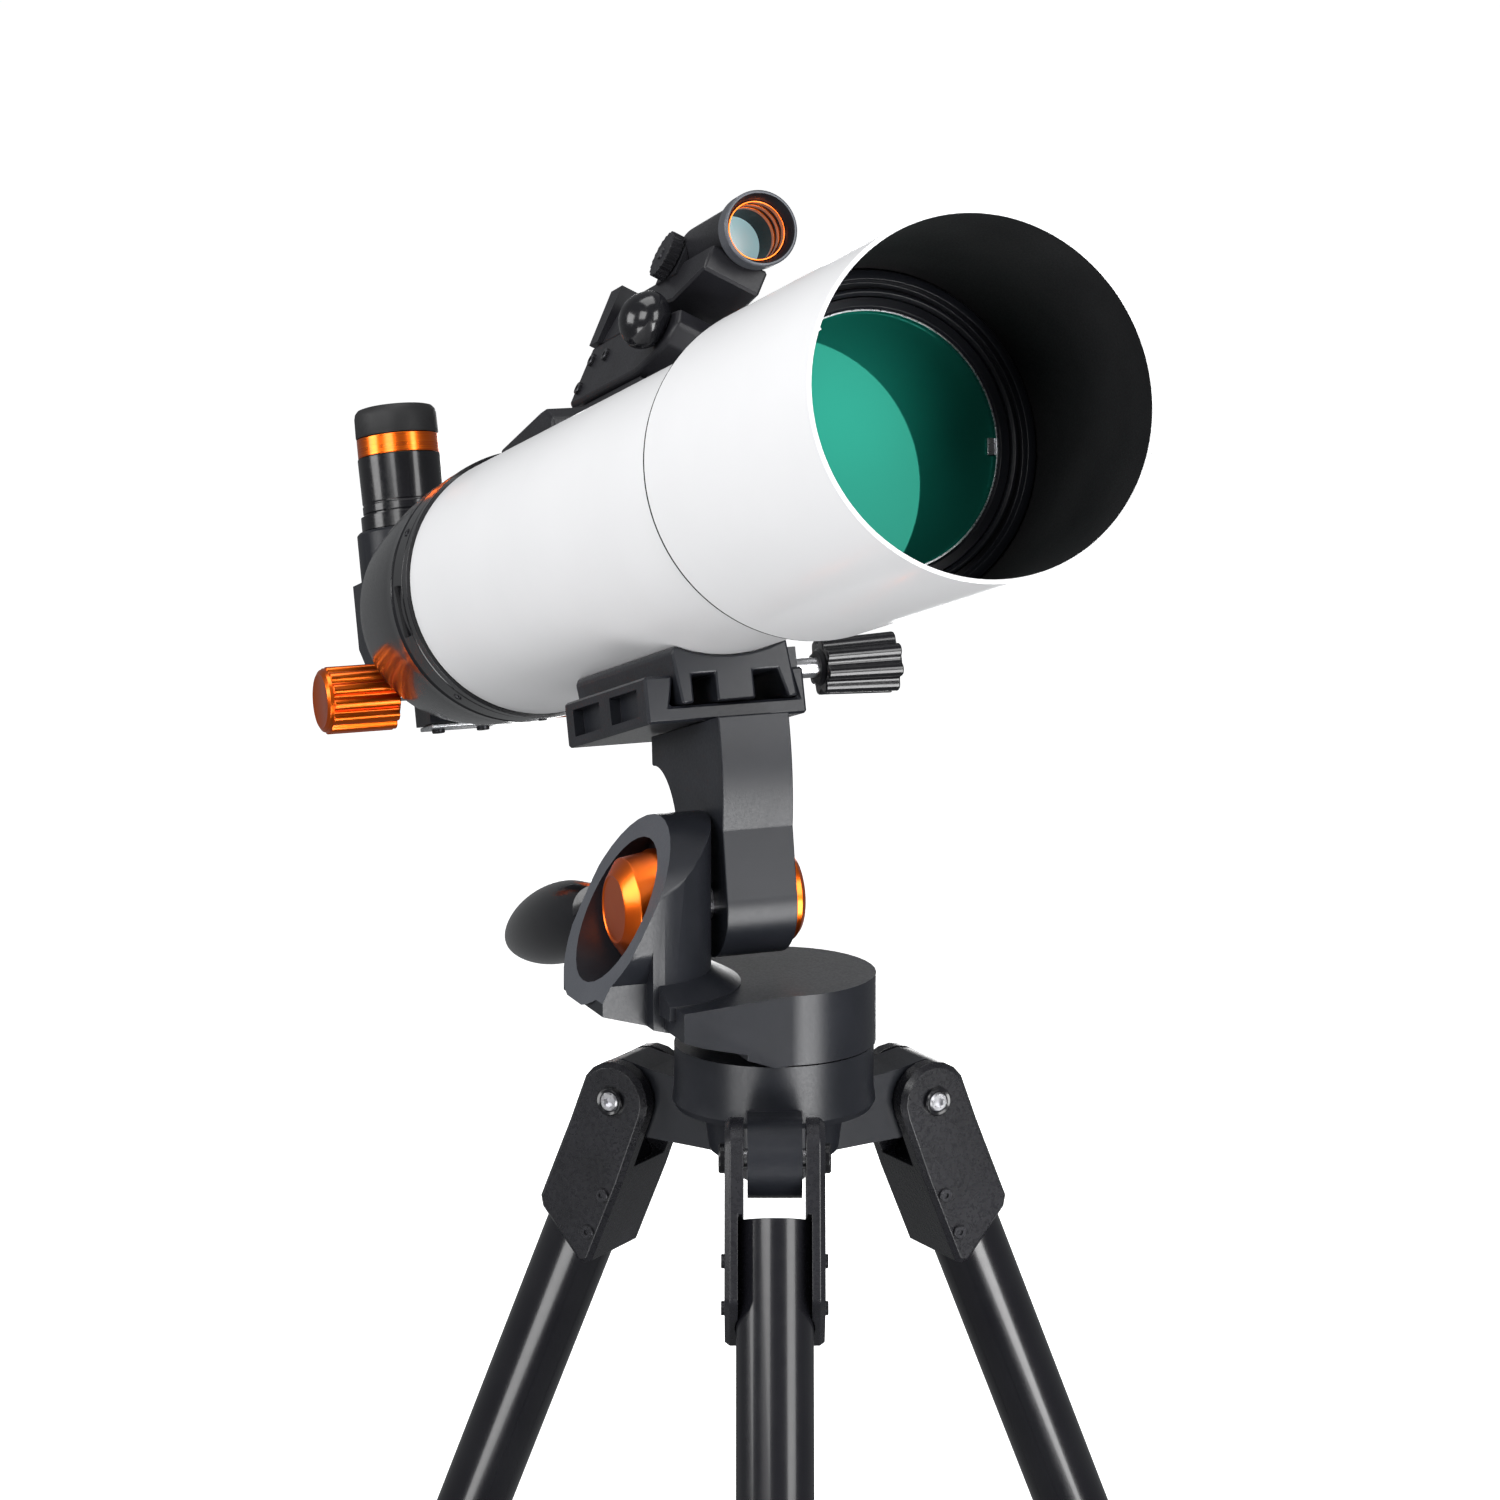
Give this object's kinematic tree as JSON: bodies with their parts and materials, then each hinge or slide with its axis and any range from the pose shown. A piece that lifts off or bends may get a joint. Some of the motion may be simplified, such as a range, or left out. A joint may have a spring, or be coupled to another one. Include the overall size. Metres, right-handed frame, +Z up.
{
  "type": "refractor telescope on tripod",
  "caption": "Short white refractor telescope with a dew shield, angled eyepiece and reflex finder, on a black altitude-azimuth head with a pan handle and a folding tripod.",
  "frame": {"origin": "centre of the bounding box at floor level, between the feet", "axes": "+Z up; one leg points along -Y; the telescope points 68.7 degrees from +X towards -Y and 16.1 degrees up"},
  "size_m": [0.536, 0.6548, 0.8624],
  "materials": {
    "white_paint": "white satin paint",
    "black_casting": "satin black paint on a casting",
    "black_plastic": "satin black moulded",
    "gloss_black": "glossy black",
    "black_tube": "glossy black anodised",
    "orange_anodised": "orange anodised",
    "steel": "turned steel",
    "bare_alloy": "bright alloy",
    "black_rubber": "matt rubber",
    "coated_glass": "green coated",
    "mirror": "front silvered"
  },
  "bodies": {
    "tripod": {"tripod_head": "black_casting", "azimuth_bolt": "steel", "hinge_bolt_1": "steel", "hinge_bolt_2": "steel", "hinge_bolt_3": "steel"},
    "leg_1": {"leg_bracket_1": "black_plastic", "leg_tube_upper_1": "black_tube"},
    "leg_lower_1": {"leg_tube_lower_1": "bare_alloy", "foot_1": "black_rubber"},
    "collar_1": {"leg_collar_1": "black_plastic"},
    "leg_2": {"leg_bracket_2": "black_plastic", "leg_tube_upper_2": "black_tube"},
    "leg_lower_2": {"leg_tube_lower_2": "bare_alloy", "foot_2": "black_rubber"},
    "collar_2": {"leg_collar_2": "black_plastic"},
    "leg_3": {"leg_bracket_3": "black_plastic", "leg_tube_upper_3": "black_tube"},
    "leg_lower_3": {"leg_tube_lower_3": "bare_alloy", "foot_3": "black_rubber"},
    "collar_3": {"leg_collar_3": "black_plastic"},
    "azimuth": {"azimuth_body": "black_casting", "altitude_axle": "steel", "altitude_cap_left": "orange_anodised", "altitude_cap_right": "orange_anodised"},
    "altitude": {"altitude_arm": "black_casting", "saddle": "black_casting"},
    "handle": {"handle_rod": "steel", "handle_grip": "black_rubber"},
    "clamp": {"clamp_bolt": "steel", "clamp_knob": "black_plastic"},
    "ota": {"tube_foot": "black_casting", "main_tube": "white_paint", "dew_shield": "white_paint", "objective_cell": "black_casting", "lens_flint": "coated_glass", "lens_crown": "coated_glass", "lens_retaining_ring": "bare_alloy", "tube_baffle": "black_casting", "rear_cell": "gloss_black", "focuser_body": "black_casting", "pinion_cover": "bare_alloy", "top_rail": "black_plastic", "finder_shoe": "black_plastic", "finder_base": "black_plastic", "finder_body": "black_plastic", "finder_tube": "black_plastic", "finder_lens": "coated_glass"},
    "drawtube": {"drawtube": "black_tube"},
    "pinion": {"pinion_shaft": "steel", "focus_knob_left": "orange_anodised", "focus_knob_right": "orange_anodised"},
    "diagonal": {"diagonal_body": "black_casting", "diagonal_mirror": "mirror"},
    "eyepiece": {"eyepiece_barrel": "gloss_black", "eyepiece_band": "orange_anodised", "eyecup": "black_rubber", "eye_lens": "coated_glass"},
    "finder_wheel": {"finder_wheel": "black_plastic"},
    "finder_knob": {"finder_knob": "black_plastic"}
  },
  "joints": [
    {"name": "azimuth_turn", "type": "hinge", "parent": "tripod", "child": "azimuth", "pos_m": [0, -0.02, 0.58571], "axis": [0, 0, 1], "continuous": true},
    {"name": "altitude_tilt", "type": "hinge", "parent": "azimuth", "child": "altitude", "pos_m": [-0.00145, -0.01627, 0.63871], "axis": [-0.9317, -0.3633, 0], "range_deg": [-20, 35]},
    {"name": "handle_twist", "type": "hinge", "parent": "altitude", "child": "handle", "pos_m": [-0.01729, -0.00043, 0.64487], "axis": [-0.3428, 0.8793, -0.3305], "range_deg": [0, 180]},
    {"name": "clamp_knob_turn", "type": "hinge", "parent": "altitude", "child": "clamp", "pos_m": [0.0138, 0.02719, 0.70211], "axis": [0.9317, 0.3633, 0], "range_deg": [0, 180]},
    {"name": "tube_slide", "type": "slide", "parent": "altitude", "child": "ota", "axis": [0.349, -0.8951, 0.2773], "range_m": [-0.02, 0.02]},
    {"name": "focus_slide", "type": "slide", "parent": "ota", "child": "drawtube", "axis": [-0.349, 0.8951, -0.2773], "range_m": [-0.007, 0.02]},
    {"name": "pinion_turn", "type": "hinge", "parent": "ota", "child": "pinion", "pos_m": [-0.11361, 0.24387, 0.65317], "axis": [0.9317, 0.3633, 0], "range_deg": [-300, 110]},
    {"name": "diagonal_turn", "type": "hinge", "parent": "drawtube", "child": "diagonal", "pos_m": [-0.12606, 0.27581, 0.67096], "axis": [0.349, -0.8951, 0.2773], "continuous": true},
    {"name": "eyepiece_slide", "type": "slide", "parent": "diagonal", "child": "eyepiece", "axis": [-0.1007, 0.2584, 0.9608], "range_m": [0, 0.03]},
    {"name": "finder_wheel_turn", "type": "hinge", "parent": "ota", "child": "finder_wheel", "pos_m": [-0.03379, 0.1564, 0.81848], "axis": [-0.8637, -0.1924, 0.4658], "range_deg": [0, 150]},
    {"name": "finder_knob_turn", "type": "hinge", "parent": "ota", "child": "finder_knob", "pos_m": [-0.03687, 0.12225, 0.79867], "axis": [-0.8637, -0.1924, 0.4658], "range_deg": [0, 300]},
    {"name": "leg_1_fold", "type": "hinge", "parent": "tripod", "child": "leg_1", "pos_m": [0, -0.07, 0.57071], "axis": [1, 0, 0], "range_deg": [0, 21]},
    {"name": "leg_1_extend", "type": "slide", "parent": "leg_1", "child": "leg_lower_1", "axis": [0, -0.3907, -0.9205], "range_m": [-0.08, 0.3]},
    {"name": "collar_1_twist", "type": "hinge", "parent": "leg_1", "child": "collar_1", "pos_m": [0, -0.24778, 0.15188], "axis": [0, -0.3907, -0.9205], "range_deg": [0, 90]},
    {"name": "leg_2_fold", "type": "hinge", "parent": "tripod", "child": "leg_2", "pos_m": [0.0433, 0.005, 0.57071], "axis": [-0.5, 0.866, 0], "range_deg": [0, 21]},
    {"name": "leg_2_extend", "type": "slide", "parent": "leg_2", "child": "leg_lower_2", "axis": [0.3384, 0.1954, -0.9205], "range_m": [-0.08, 0.3]},
    {"name": "collar_2_twist", "type": "hinge", "parent": "leg_2", "child": "collar_2", "pos_m": [0.19727, 0.09389, 0.15188], "axis": [0.3384, 0.1954, -0.9205], "range_deg": [0, 90]},
    {"name": "leg_3_fold", "type": "hinge", "parent": "tripod", "child": "leg_3", "pos_m": [-0.0433, 0.005, 0.57071], "axis": [-0.5, -0.866, 0], "range_deg": [0, 21]},
    {"name": "leg_3_extend", "type": "slide", "parent": "leg_3", "child": "leg_lower_3", "axis": [-0.3384, 0.1954, -0.9205], "range_m": [-0.08, 0.3]},
    {"name": "collar_3_twist", "type": "hinge", "parent": "leg_3", "child": "collar_3", "pos_m": [-0.19727, 0.09389, 0.15188], "axis": [-0.3384, 0.1954, -0.9205], "range_deg": [0, 90]}
  ],
  "couplings": [
    {"joint": "pinion_turn", "follows": "focus_slide", "rad_per_m": -250}
  ]
}
